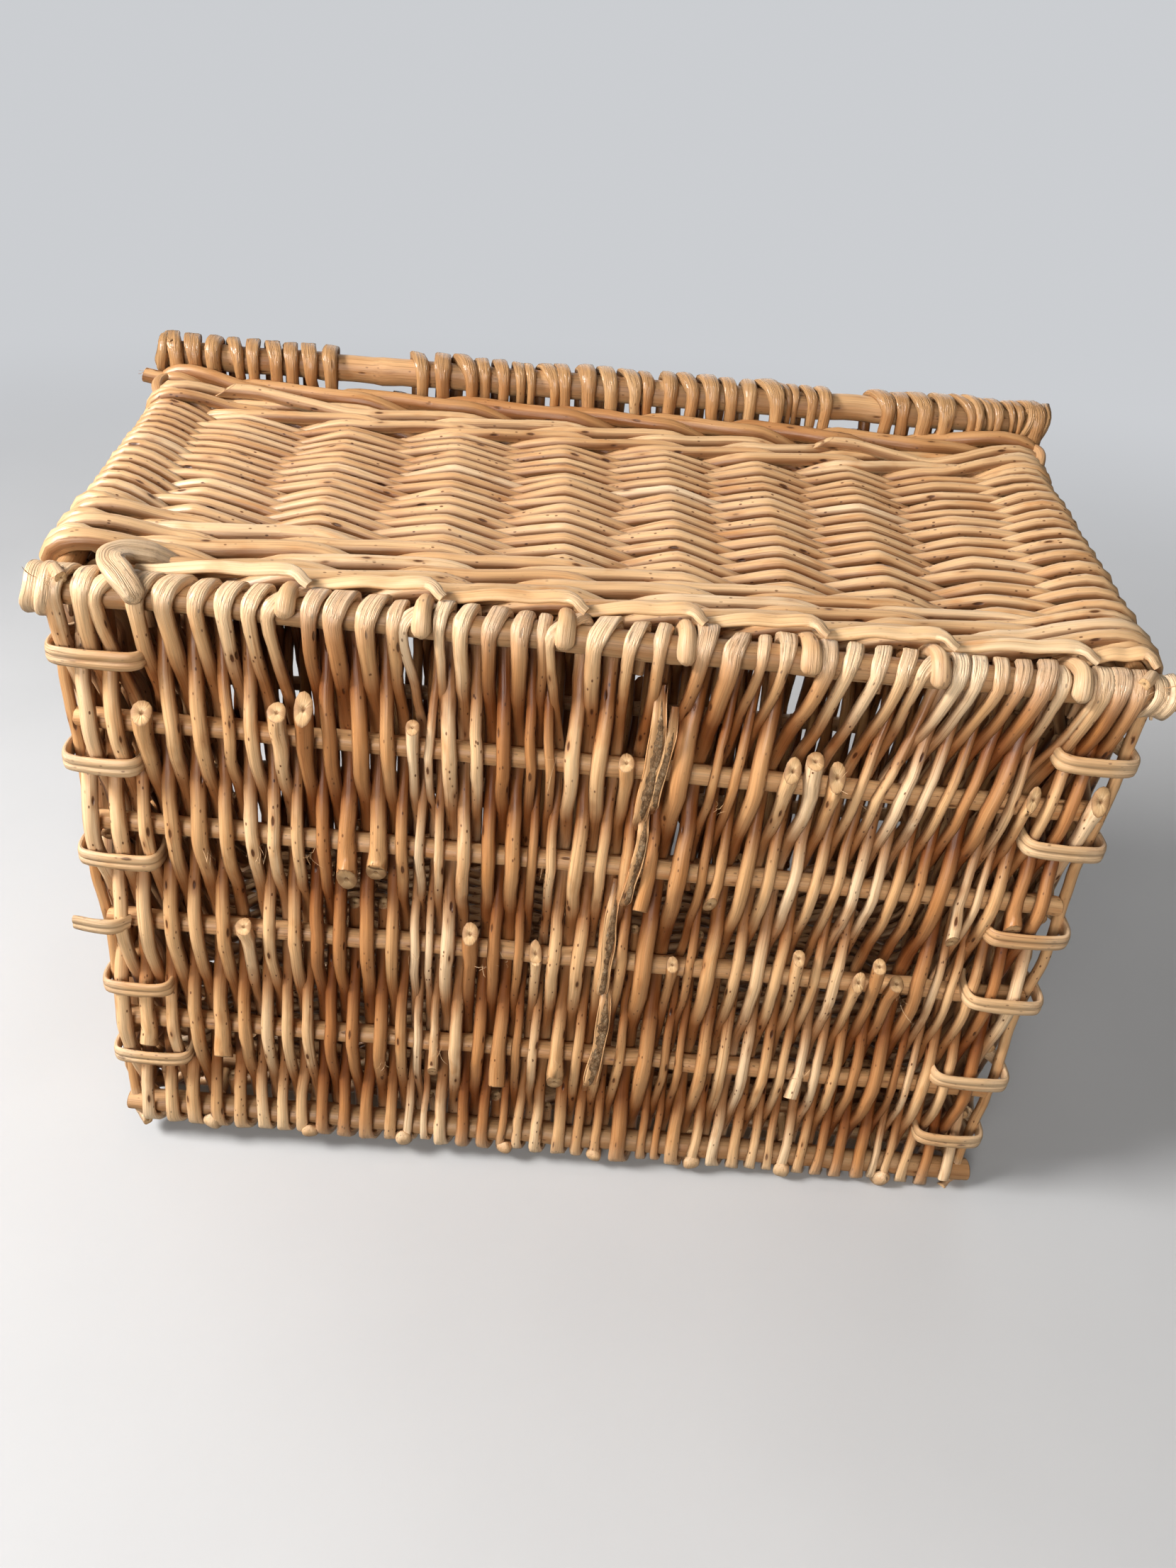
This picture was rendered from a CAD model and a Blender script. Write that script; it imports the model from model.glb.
"""A lidded willow hamper: woven base and lid panels, stakes and rod walls, waling, border, hinges.

X runs along the length, the front is at -Y, the hinged back at +Y, and Z is up with the base
near zero. Lengths are in millimetres until Rods.make turns them into metres; the stage, lights
and camera are in metres. Every rod is a tube or strip laid along a computed path.
"""
import math
from collections import namedtuple

import bpy
import numpy as np
from mathutils import Matrix, Vector


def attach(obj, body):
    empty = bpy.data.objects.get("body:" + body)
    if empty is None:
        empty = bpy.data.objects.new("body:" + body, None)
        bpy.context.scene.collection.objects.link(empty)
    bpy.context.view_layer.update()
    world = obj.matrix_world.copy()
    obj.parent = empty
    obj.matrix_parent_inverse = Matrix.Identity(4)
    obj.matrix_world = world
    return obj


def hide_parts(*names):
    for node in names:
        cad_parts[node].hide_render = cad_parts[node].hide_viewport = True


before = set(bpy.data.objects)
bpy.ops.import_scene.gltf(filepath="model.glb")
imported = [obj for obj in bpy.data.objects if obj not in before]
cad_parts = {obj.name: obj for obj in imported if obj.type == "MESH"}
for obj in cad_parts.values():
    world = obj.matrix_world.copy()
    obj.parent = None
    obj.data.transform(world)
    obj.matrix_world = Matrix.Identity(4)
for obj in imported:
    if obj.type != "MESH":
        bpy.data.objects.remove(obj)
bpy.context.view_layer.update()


# ------------------------------------------------------------------ driving sizes, mm
BASE_Z = 13.0                  # height of the base sticks
BASE_STICK_Y = (-195.0, -118.0, -48.0, 27.0, 112.0, 195.0)
BASE_STICK_R = (7.5, 6.0, 6.0, 6.0, 6.0, 7.5)
LID_Z = 333.0                  # height of the lid sticks
LID_STICK_PITCH = 88.4
LID_STICK_Y = tuple(LID_STICK_PITCH * (i - 2.5) for i in range(6))
LID_STICK_R = (9.0, 6.0, 6.0, 6.0, 6.0, 9.0)

# the walls splay from a foot to a rim; these are heights and half sizes
FOOT_Z, RIM_Z = 26.2, 319.5
FOOT_X, FOOT_Y, RIM_X, RIM_Y = 281.0, 191.0, 295.0, 194.0

# the old basket is skewed: its base is turned and shifted under the rim
RACK_TURN, RACK_X, RACK_Y = math.radians(1.3), 7.0, 5.0

# places where the stakes stand or bend under the base
FRONT_FEET_X = (-165.0, -96.0, -22.0, 40.0, 104.0, 172.0, 247.0)
FRONT_STAKES_X = (-234.0, -164.0, -93.0, -24.0, 41.0, 102.0, 161.0, 219.0)
BACK_STAKE_PITCH = 66.0
BACK_STAKES_X = tuple(BACK_STAKE_PITCH * (i - 3.5) for i in range(8))
END_STAKES_Y = (-156.0, -95.0, -31.0, 14.0, 82.0, 148.0)
STAKE_R, CORNER_R = 4.0, 6.2

# where the lid's outer sticks are left bare, a thin helper rod inside them takes the turns
LID_GAPS_X = ((-199.0, -147.0), (149.0, 186.0))
HELPER_INSET, HELPER_R = 24.0, 3.2


def half_x(z):
    return FOOT_X + (RIM_X - FOOT_X) * (z - FOOT_Z) / (RIM_Z - FOOT_Z)


def half_y(z):
    return FOOT_Y + (RIM_Y - FOOT_Y) * (z - FOOT_Z) / (RIM_Z - FOOT_Z)


def rack(points):
    """Turn and shift points, fully at the base and not at all at the lid."""
    points = np.array(points, float)
    share = 1 - np.clip((points[:, 2] - BASE_Z) / (LID_Z - BASE_Z), 0, 1)
    cosine, sine = np.cos(RACK_TURN * share), np.sin(RACK_TURN * share)
    x, y = points[:, 0].copy(), points[:, 1].copy()
    points[:, 0] = cosine * x - sine * y + RACK_X * share
    points[:, 1] = sine * x + cosine * y + RACK_Y * share
    return points


# ------------------------------------------------------------------ curve helpers
def smooth(x, low, high):
    t = np.clip((x - low) / (high - low), 0, 1)
    return t * t * (3 - 2 * t)


def unit(vectors):
    return vectors / (np.linalg.norm(vectors, axis=-1, keepdims=True) + 1e-12)


def arc_length(points):
    """Distance of each point along the line, from its start."""
    steps = np.linalg.norm(np.diff(points, axis=0), axis=1)
    return np.concatenate([[0], np.cumsum(steps)])


def frame_along(path, ref):
    """Arc length, tangent, the direction nearest ref square to it, and the one across both."""
    dist = arc_length(path)
    tangent = unit(np.gradient(path, dist + np.arange(len(path)) * 1e-9, axis=0))
    ref = np.broadcast_to(np.array(ref, float), (len(path), 3))
    toward = unit(ref - (ref * tangent).sum(1)[:, None] * tangent)
    return dist, tangent, toward, np.cross(tangent, toward)


def wave(dist, rng, step, amp):
    """Smooth noise along dist: two octaves of three sines with random lengths and phases."""
    out = np.zeros_like(dist)
    for octave in range(2):
        for _ in range(3):
            freq = 2 * math.pi / (step * (0.6 + 0.9 * rng.random())) * (2 ** octave)
            out += np.sin(dist * freq + rng.random() * 6.283) * amp / (1.7 * (2 ** octave))
    return out


def soften(points, times):
    """Average each inner point with its neighbours, in place."""
    for _ in range(times):
        points[1:-1] = (points[:-2] + 2 * points[1:-1] + points[2:]) / 4
    return points


def cut_corners(points, times):
    """Round a polyline by replacing each corner with two points, ends kept."""
    for _ in range(times):
        start, end = points[:-1], points[1:]
        pairs = np.stack([0.75 * start + 0.25 * end, 0.25 * start + 0.75 * end], 1)
        points = np.vstack([points[:1], pairs.reshape(-1, points.shape[1]), points[-1:]])
    return points


def random_tone(rng, mean, spread, low=0.0):
    """Colour of one rod, from 0 (orange brown) to 1 (cream)."""
    return float(np.clip(rng.normal(mean, spread), low, 1.0))


def grid_quads(rows, sides):
    """Quads joining successive rings of a tube."""
    start = np.arange(rows - 1)[:, None] * sides
    here = np.arange(sides)
    after = (here + 1) % sides
    quads = [start + here, start + after, start + sides + after, start + sides + here]
    return np.stack(quads, -1).reshape(-1, 4)


# ------------------------------------------------------------------ rods as meshes
# rings that close a tube: scale, height over the end in radii, cut-face radius (-1: bark)
CUT_CAP = ((1.0, 0.0, 1.0), (0.9, 0.10, 0.88), (0.5, 0.06, 0.5), (0.22, 0.02, 0.2),
           (0.04, -0.12, 0.0))
ROUND_CAP = ((1.0, 0.0, -1), (0.8, 0.18, -1), (0.4, 0.3, -1), (0.05, 0.34, -1))


def strip_section(crease):
    """Section of sliced willow, as shares of width and thickness, with a crease in its back."""
    return np.array([
        (-0.5, -0.25), (-0.5, 0.1), (-0.42, 0.38), (-0.25, 0.5), (-0.06, 0.5),
        (0.0, 0.5 - crease), (0.06, 0.5), (0.25, 0.5), (0.42, 0.38), (0.5, 0.1),
        (0.5, -0.25), (0.4, -0.45), (0.15, -0.5), (-0.15, -0.5), (-0.4, -0.45)])


class Rods:
    """Collects tubes and strips, with each vertex's place on its own rod and four shader values.

    The values are tone, wear, capr (radius on a cut face, else -1) and crev (how far round
    the rod the vertex lies towards its neighbours).
    """

    def __init__(self):
        self.verts, self.quads, self.rodco, self.values = [], [], [], []
        self.count = 0

    def add(self, verts, quads, rodco, values):
        self.verts.append(verts)
        self.quads.append(quads + self.count)
        self.rodco.append(rodco)
        self.values.append(values)
        self.count += len(verts)

    def tube(self, path, radius, rng, tone, ref=(0, 0, 1), sides=12, ends=("cut", "cut"),
             wear=0.0, lobes=0.03, slope=(0.0, 0.0), rough=0.02, bend=0.35, cut_dir=None):
        """Rod along path. radius has one column, or two: along ref and across it.

        ends are cut, tip or round; slope slants the cuts towards cut_dir (or ref). lobes, rough
        and bend set how uneven the section, the thickness and the line of the rod are.
        """
        path = np.array(path, float)
        count = len(path)
        dist, tangent, toward, across = frame_along(path, ref)
        if bend:
            fade = np.clip(np.minimum(dist, dist[-1] - dist) / 12, 0, 1)
            path = (path + toward * (wave(dist, rng, 70, bend) * fade)[:, None]
                    + across * (wave(dist, rng, 90, bend * 0.6) * fade)[:, None])
        radius = np.array(radius, float)
        if radius.ndim == 1:
            radius = radius[:, None]
        radius = np.broadcast_to(radius, (count, 2))
        swell = 1 + wave(dist, rng, 45, rough)
        for _ in range(max(1, int(dist[-1] / 90))):      # leaf scars swell the rod a little
            scar = rng.random() * dist[-1]
            swell = swell + 0.05 * np.exp(-((dist - scar) / 4.0) ** 2)
        radius = radius * swell[:, None]

        wear = np.broadcast_to(np.asarray(wear, float), (count,))[:, None]
        angle = np.linspace(0, 2 * math.pi, sides, endpoint=False)
        phase = rng.random(3) * 6.283
        bulge = (lobes * np.cos(3 * angle[None] + phase[0] + dist[:, None] * 0.008)
                 + 0.5 * lobes * np.cos(2 * angle[None] + phase[1]))
        bulge = 1 + bulge * (1 + 2.0 * wear)
        shrink = np.ones(count)
        for k, end in enumerate(ends):
            from_end = dist if k == 0 else dist[-1] - dist
            if end == "tip":
                shrink *= np.clip(from_end / 38.0, 0, 1) ** 0.7 * 0.8 + 0.2
            elif end == "round":
                end_r = radius[0 if k == 0 else -1].mean()
                near = 1 - np.clip(from_end / (end_r * 0.9), 0, 1)
                shrink *= np.sqrt(np.clip(1 - near ** 2, 0.12, 1))
        squareness = 1 - 0.42 * wear                     # worn rods are pressed squarer
        cosine = np.sign(np.cos(angle)) * np.abs(np.cos(angle))[None] ** squareness
        sine = np.sign(np.sin(angle)) * np.abs(np.sin(angle))[None] ** squareness
        local_a = radius[:, 0:1] * bulge * shrink[:, None] * cosine
        local_b = radius[:, 1:2] * bulge * shrink[:, None] * sine
        rings = (path[:, None] + local_a[..., None] * toward[:, None]
                 + local_b[..., None] * across[:, None])

        origin = np.array([rng.random() * 40, rng.random() * 3, rng.random() * 3])
        along = np.broadcast_to((dist * 0.001)[:, None], (count, sides))
        rodco = np.stack([along, local_a * 0.001, local_b * 0.001], -1) + origin
        values = np.zeros((count, sides, 4))
        values[..., 0] = tone
        values[..., 1] = wear
        values[..., 2] = -1
        values[..., 3] = np.abs(np.cos(angle))[None] * (1 - 0.8 * wear)
        for k, i in enumerate((0, count - 1)):           # slanted cuts
            if ends[k] == "cut":
                slant_dir = toward[i] if cut_dir is None else np.array(cut_dir, float)
                sign = 1 if k == 0 or cut_dir is None else -1
                rise = slope[k] * ((rings[i] - path[i]) @ slant_dir) * sign
                rings[i] += tangent[i] * rise[:, None]
        self.add(rings.reshape(-1, 3), grid_quads(count, sides),
                 rodco.reshape(-1, 3), values.reshape(-1, 4))
        for k, i in enumerate((0, count - 1)):
            outward = tangent[i] * (-1 if k == 0 else 1)
            self.cap(rings[i], rodco[i], values[i], outward, ends[k], at_start=k == 0)

    def cap(self, ring, rodco, values, outward, kind, at_start):
        """Close a tube end with shrinking rings and a fan."""
        sides = len(ring)
        middle = ring.mean(0)
        radius = np.linalg.norm(ring - middle, axis=1).mean()
        steps = CUT_CAP if kind == "cut" else ROUND_CAP
        verts = np.concatenate([middle + (ring - middle) * scale + outward * radius * height
                                for scale, height, _ in steps])
        values = np.concatenate([values] * len(steps))
        values[:, 2] = np.repeat([face_r for _, _, face_r in steps], sides)
        last = (len(steps) - 1) * sides
        pair = last + 2 * np.arange(sides // 2 - 1)
        fan = np.stack([np.full_like(pair, last), pair + 1, pair + 2, pair + 3], -1)
        quads = np.concatenate([grid_quads(len(steps), sides), fan])
        if at_start:
            quads = quads[:, ::-1]
        self.add(verts, quads, np.concatenate([rodco] * len(steps)), values)

    def strip(self, path, up, width, thick, rng, tone, wear, crease):
        """Flat sliced willow along path, with a rounded back towards up."""
        count = len(path)
        dist, _, back, across = frame_along(path, up)
        width = np.broadcast_to(np.array(width, float), (count,))
        width = (width * (1 + wave(dist, rng, 40, 0.03)))[:, None]
        section = strip_section(crease)
        sides = len(section)
        wide = section[None, :, 0] * width
        high = np.broadcast_to(section[None, :, 1] * thick, (count, sides))
        rings = path[:, None] + wide[..., None] * across[:, None] + high[..., None] * back[:, None]
        origin = rng.random(3) * np.array([40, 3, 3])
        along = np.broadcast_to((dist * 0.001)[:, None], (count, sides))
        rodco = np.stack([along, high * 0.001, wide * 0.001], -1) + origin
        values = np.zeros((count, sides, 4))
        values[..., 0] = tone
        values[..., 1] = np.broadcast_to(np.asarray(wear), (count,))[:, None]
        values[..., 2] = -1
        self.add(rings.reshape(-1, 3), grid_quads(count, sides)[:, ::-1],
                 rodco.reshape(-1, 3), values.reshape(-1, 4))
        for i in (0, count - 1):
            middle = rings[i].mean(0)
            verts = np.concatenate([rings[i], middle + (rings[i] - middle) * 0.1])
            quads = grid_quads(2, sides)
            if i == 0:
                quads = quads[:, ::-1]
            self.add(verts, quads, np.concatenate([rodco[i]] * 2),
                     np.concatenate([values[i]] * 2))

    def make(self, name, material, slot, replaced=None, body="basket", racked=True, depth=None):
        """Turn the collected rods into one object. depth gives each vertex its shade."""
        verts = np.concatenate(self.verts)
        deep = np.zeros(len(verts)) if depth is None else depth(verts)
        if racked:
            verts = rack(verts)
        # rods below the ground line are pressed up against it
        verts[:, 2] = np.maximum(verts[:, 2], -6.0 + 0.15 * (verts[:, 2] + 6.0))
        quads = np.concatenate(self.quads)
        mesh = bpy.data.meshes.new(name)
        mesh.vertices.add(len(verts))
        mesh.vertices.foreach_set("co", (verts * 0.001).astype(np.float32).ravel())
        mesh.loops.add(len(quads) * 4)
        mesh.loops.foreach_set("vertex_index", quads.astype(np.int32).ravel())
        mesh.polygons.add(len(quads))
        mesh.polygons.foreach_set("loop_start", np.arange(0, len(quads) * 4, 4, dtype=np.int32))
        mesh.polygons.foreach_set("use_smooth", np.ones(len(quads), bool))
        rodco = mesh.attributes.new("rodco", "FLOAT_VECTOR", "POINT")
        rodco.data.foreach_set("vector", np.concatenate(self.rodco).astype(np.float32).ravel())
        columns = [*np.concatenate(self.values).T, deep]
        for key, column in zip(("tone", "wear", "capr", "crev", "deep"), columns):
            attribute = mesh.attributes.new(key, "FLOAT", "POINT")
            attribute.data.foreach_set("value", column.astype(np.float32))
        mesh.update(calc_edges=True)
        mesh.validate()
        mesh.materials.append(material)
        obj = bpy.data.objects.new(name, mesh)
        bpy.context.scene.collection.objects.link(obj)
        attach(obj, body)
        if replaced:
            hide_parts(replaced)


# how deep inside the weave a point lies: dust and shade gather there
def panel_depth(level, edge_y, edge_pad, clear_x):
    """Depth function of a flat panel, which fades out over 12 mm beyond clear_x."""
    def depth(points):
        x, y = np.abs(points[:, 0]), np.abs(points[:, 1])
        away = np.abs(points[:, 2] - level)
        away = np.where(y > edge_y, np.hypot(away, y - edge_y) + edge_pad, away)
        return (1 - smooth(away, 1.5, 12.0)) * (1 - 0.85 * smooth(x, clear_x, clear_x + 12))
    return depth


base_depth = panel_depth(BASE_Z, BASE_STICK_Y[-1], edge_pad=2.5, clear_x=270)
lid_depth = panel_depth(LID_Z, LID_STICK_Y[-1], edge_pad=3, clear_x=296)


def wall_depth(points):
    over_x = np.abs(points[:, 0]) - half_x(points[:, 2])
    over_y = np.abs(points[:, 1]) - half_y(points[:, 2])
    outside = np.maximum(over_x, over_y)
    return np.maximum(1 - smooth(np.abs(outside), 1.0, 8.5), 0.8 * smooth(-outside, 1.0, 5.0))


# ------------------------------------------------------------------ shader helpers
class Nodes:
    """Short ways to add and link shader nodes in one tree."""

    def __init__(self, tree):
        self.tree = tree

    def feed(self, socket, value):
        """Link a socket to value, or set it; three-part colours get an alpha of 1."""
        if isinstance(value, bpy.types.NodeSocket):
            self.tree.links.new(value, socket)
        elif socket.type == "RGBA" and len(value) == 3:
            socket.default_value = tuple(value) + (1,)
        else:
            socket.default_value = value

    def feed_node(self, node, inputs):
        for key, value in inputs.items():
            self.feed(node.inputs[key], value)

    def add(self, kind, inputs=None, **settings):
        node = self.tree.nodes.new(kind)
        for key, value in settings.items():
            setattr(node, key, value)
        self.feed_node(node, inputs or {})
        return node

    def attribute(self, key, output="Fac"):
        return self.add("ShaderNodeAttribute", attribute_name=key).outputs[output]

    def calc(self, operation, *values, clamp=False):
        node = self.add("ShaderNodeMath", dict(enumerate(values)),
                        operation=operation, use_clamp=clamp)
        return node.outputs[0]

    def plus(self, a, b, clamp=False):
        return self.calc("ADD", a, b, clamp=clamp)

    def minus(self, a, b, clamp=False):
        return self.calc("SUBTRACT", a, b, clamp=clamp)

    def times(self, a, b, clamp=False):
        return self.calc("MULTIPLY", a, b, clamp=clamp)

    def mix(self, factor, a, b, mode="MIX"):
        node = self.add("ShaderNodeMix", {0: factor, 6: a, 7: b},
                        data_type="RGBA", blend_type=mode)
        return node.outputs[2]

    def multiply(self, a, b):
        return self.mix(1.0, a, b, "MULTIPLY")

    def ramp(self, factor, *stops):
        """Linear ramp through stops of (position, grey value or colour)."""
        node = self.tree.nodes.new("ShaderNodeValToRGB")
        node.color_ramp.interpolation = "LINEAR"
        elements = node.color_ramp.elements
        while len(elements) < len(stops):
            elements.new(0.5)
        for element, (position, colour) in zip(elements, stops):
            if isinstance(colour, float):
                colour = (colour,) * 3
            element.position = position
            element.color = tuple(colour) + (1,)
        self.feed(node.inputs["Fac"], factor)
        return node.outputs["Color"]

    def smooth_range(self, value, low, high):
        node = self.add("ShaderNodeMapRange",
                        {"From Min": low, "From Max": high, "Value": value},
                        interpolation_type="SMOOTHSTEP")
        return node.outputs[0]

    def bump(self, height, strength):
        node = self.add("ShaderNodeBump",
                        {"Strength": strength, "Distance": 0.0006, "Height": height})
        return node.outputs["Normal"]


def new_material(name):
    material = bpy.data.materials.new(name)
    material.use_nodes = True
    return material, Nodes(material.node_tree)


# ------------------------------------------------------------------ willow
def willow(name, tint=(1, 1, 1), stain=0.0, rough=0.46, knots=1.0, rub=1.0, shade=0.6,
           worn=(0.72, 0.575, 0.41), groove=0.35):
    """Peeled willow. tint multiplies the colour and stain mixes in brown.

    knots scales specks and scars, rub how far bent rods take the worn colour, shade the dark
    inside the weave and groove the dark line where rods press together.
    """
    material, nodes = new_material(name)
    rodco = nodes.attribute("rodco", "Vector")
    tone, wear, capr, crev, deep = (
        nodes.attribute(key) for key in ("tone", "wear", "capr", "crev", "deep"))
    ramp, mix, plus, minus, times = nodes.ramp, nodes.mix, nodes.plus, nodes.minus, nodes.times

    def scaled(along, across):
        node = nodes.add("ShaderNodeMapping",
                         {"Scale": (along, across, across), "Vector": rodco})
        return node.outputs["Vector"]

    def noise(along, across, detail=3.0, roughness=0.55, distortion=0.0):
        node = nodes.add("ShaderNodeTexNoise", {
            "Scale": 1.0, "Detail": detail, "Roughness": roughness,
            "Distortion": distortion, "Vector": scaled(along, across)})
        return node.outputs["Fac"]

    def cells(along, across):
        node = nodes.add("ShaderNodeTexVoronoi", {
            "Scale": 1.0, "Randomness": 1.0, "Vector": scaled(along, across)})
        return node.outputs["Distance"]

    streak = noise(along=9, across=420, detail=4.0)
    fine = noise(along=26, across=1500)
    blotch = noise(along=22, across=70, roughness=0.6, distortion=0.4)
    drift = noise(along=7, across=25, detail=2.0)

    # base colour, from orange brown to pale cream, drifting along the rod
    pale = plus(tone, times(minus(drift, 0.5), 0.55))
    pale = plus(pale, times(minus(streak, 0.5), 0.45), clamp=True)
    colour = ramp(pale, (0.0, (0.33, 0.135, 0.045)), (0.22, (0.44, 0.215, 0.085)),
                  (0.5, (0.56, 0.325, 0.150)), (0.78, (0.665, 0.435, 0.232)),
                  (1.0, (0.74, 0.545, 0.345)))
    # warm patches where the bark's tannin stained the wood
    colour = mix(ramp(blotch, (0.54, 0.0), (0.72, 0.65)), colour, (0.47, 0.205, 0.062))
    # brown lines and fine grain
    lines = ramp(noise(along=5, across=800, detail=2.0), (0.60, 0.0), (0.70, 0.55))
    colour = mix(lines, colour, (0.30, 0.13, 0.045))
    colour = nodes.multiply(colour, ramp(fine, (0.34, 0.82), (0.52, 1.0), (0.7, 1.06)))

    # specks, and leaf scars with a halo
    speck = ramp(cells(along=150, across=300), (0.11, 1.0), (0.19, 0.0))
    where = ramp(noise(along=30, across=120, detail=1.0), (0.44, 0.0), (0.54, 1.0))
    speck = times(speck, where)
    scar_cells = cells(along=36, across=118)
    scar = ramp(scar_cells, (0.065, 1.0), (0.13, 0.0))
    halo = ramp(scar_cells, (0.12, 0.55), (0.30, 0.0))
    colour = mix(times(halo, 0.6 * knots), colour, (0.34, 0.14, 0.045))
    colour = mix(times(speck, 0.75 * knots), colour, (0.15, 0.06, 0.022))
    colour = mix(times(scar, 0.9 * knots), colour, (0.115, 0.045, 0.016))

    # rubbed surface, creases and dirt where the rods bend hard
    rubbed = plus(times(noise(along=60, across=330, detail=4.0), 1.1), 0.15)
    rubbed = times(times(wear, rubbed, clamp=True), 0.85 * rub, clamp=True)
    colour = mix(rubbed, colour, worn)
    crease = ramp(noise(along=10, across=620, detail=2.0, roughness=0.5),
                  (0.40, 1.0), (0.46, 0.0), (0.54, 0.0), (0.60, 1.0))
    crease = times(times(crease, wear), 0.45)
    colour = mix(crease, colour, (0.36, 0.22, 0.12))
    dirt = ramp(noise(along=120, across=500, detail=5.0, roughness=0.7), (0.56, 0.0), (0.70, 1.0))
    colour = mix(times(times(dirt, wear), 0.65), colour, (0.16, 0.095, 0.05))

    # cut ends: pale wood, darker rim and a brown pith
    is_cap = nodes.calc("GREATER_THAN", capr, -0.5)
    wobble = times(minus(noise(along=300, across=900), 0.5), 0.25)
    cap_colour = ramp(plus(capr, wobble), (0.0, (0.24, 0.12, 0.05)), (0.14, (0.40, 0.23, 0.10)),
                      (0.26, (0.62, 0.43, 0.235)), (0.55, (0.56, 0.36, 0.18)),
                      (0.88, (0.50, 0.31, 0.15)), (1.0, (0.26, 0.135, 0.06)))
    colour = mix(is_cap, colour, cap_colour)

    # shade between neighbouring rods and inside the weave
    side = nodes.smooth_range(crev, low=0.70, high=1.0)
    colour = mix(times(side, groove), colour, nodes.multiply(colour, (0.34, 0.20, 0.12)))
    colour = mix(times(deep, shade), colour, nodes.multiply(colour, (0.44, 0.265, 0.155)))
    if tint != (1, 1, 1):
        colour = nodes.multiply(colour, tint)
    if stain:
        colour = mix(stain, colour, (0.30, 0.14, 0.05))

    roughness = plus(rough - 0.10, times(streak, 0.20))
    roughness = plus(roughness, times(is_cap, 0.25))
    roughness = minus(roughness, times(wear, 0.07), clamp=True)

    # relief: grain along the rod, wrinkles across it where worn, pits at creases and scars
    height = times(fine, 0.30)
    height = plus(height, times(noise(along=14, across=700, detail=2.0), 0.55))
    height = plus(height, times(times(noise(along=520, across=90), wear), 0.9))
    height = plus(height, times(noise(along=120, across=260), 0.25))
    height = minus(height, times(crease, 1.6))
    height = minus(height, times(scar, 0.9 * knots))
    end_grain = times(is_cap, noise(along=900, across=900, detail=4.0))
    height = plus(height, times(end_grain, 0.8))
    nodes.feed_node(nodes.tree.nodes["Principled BSDF"], {
        "Base Color": colour, "Roughness": roughness, "Specular IOR Level": 0.42,
        "Normal": nodes.bump(height, strength=0.75)})
    return material


def pith_material(name):
    """Brown crumbly core of a split rod."""
    material, nodes = new_material(name)
    coords = nodes.add("ShaderNodeTexCoord").outputs["Object"]
    place = nodes.add("ShaderNodeMapping",
                      {"Scale": (1.0, 0.55, 1.0), "Vector": coords}).outputs[0]
    crumbs = nodes.add("ShaderNodeTexNoise", {
        "Scale": 420.0, "Detail": 7.0, "Roughness": 0.65, "Vector": place}).outputs["Fac"]
    cracks = nodes.add("ShaderNodeTexVoronoi", {"Scale": 520.0, "Vector": place},
                       feature="DISTANCE_TO_EDGE").outputs["Distance"]
    colour = nodes.ramp(crumbs, (0.30, (0.10, 0.048, 0.02)), (0.5, (0.27, 0.155, 0.075)),
                        (0.72, (0.50, 0.36, 0.22)))
    darker = nodes.add("ShaderNodeMapRange",
                       {"From Max": 0.12, "To Min": 0.45, "Value": cracks}).outputs[0]
    nodes.feed_node(nodes.tree.nodes["Principled BSDF"], {
        "Base Color": nodes.multiply(colour, darker), "Roughness": 0.8,
        "Specular IOR Level": 0.2, "Normal": nodes.bump(crumbs, strength=0.7)})
    return material


BASE_WILLOW = willow("willow_base_weavers", tint=(1.16, 1.13, 1.09), rub=0.75, knots=1.6,
                     shade=0.95, rough=0.36, worn=(0.80, 0.66, 0.48), groove=0.55)
STICK_WILLOW = willow("willow_sticks", knots=0.8, rough=0.45)
INNER_WILLOW = willow("willow_inner_sticks", tint=(1.26, 1.17, 1.06), rub=0.45, knots=0.9,
                      rough=0.45)
WALL_WILLOW = willow("willow_wall_rods", knots=1.4, shade=0.42, rough=0.38, groove=0.85)
WALE_WILLOW = willow("willow_waling", knots=1.2, shade=0.5, rough=0.40, groove=0.85)
BORDER_WILLOW = willow("willow_border", tint=(0.87, 0.79, 0.70), stain=0.06, rough=0.36,
                       shade=0.8, groove=0.8)
LID_WILLOW = willow("willow_lid_weavers", tint=(0.80, 0.72, 0.62), stain=0.10, rough=0.30,
                    shade=0.9, worn=(0.62, 0.41, 0.22), groove=0.6)
SLICE_WILLOW = willow("willow_sliced", tint=(1.04, 1.03, 1.0), knots=0.3, rub=0.6)
STAKE_WILLOW = willow("willow_stakes", tint=(0.99, 0.95, 0.9))


# ------------------------------------------------------------------ woven panels (base and lid)
SPAN_STEPS = 9                 # points from one stick to the next
# wear and cross radius along a span that arrives at an outer stick
ARRIVING_WEAR = np.clip(np.linspace(-1.8, 0.35, SPAN_STEPS), 0, 1)
ARRIVING_R = np.interp(np.linspace(0, 1, SPAN_STEPS), (0, 0.7, 1), (1, 1, 0.9))


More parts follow.
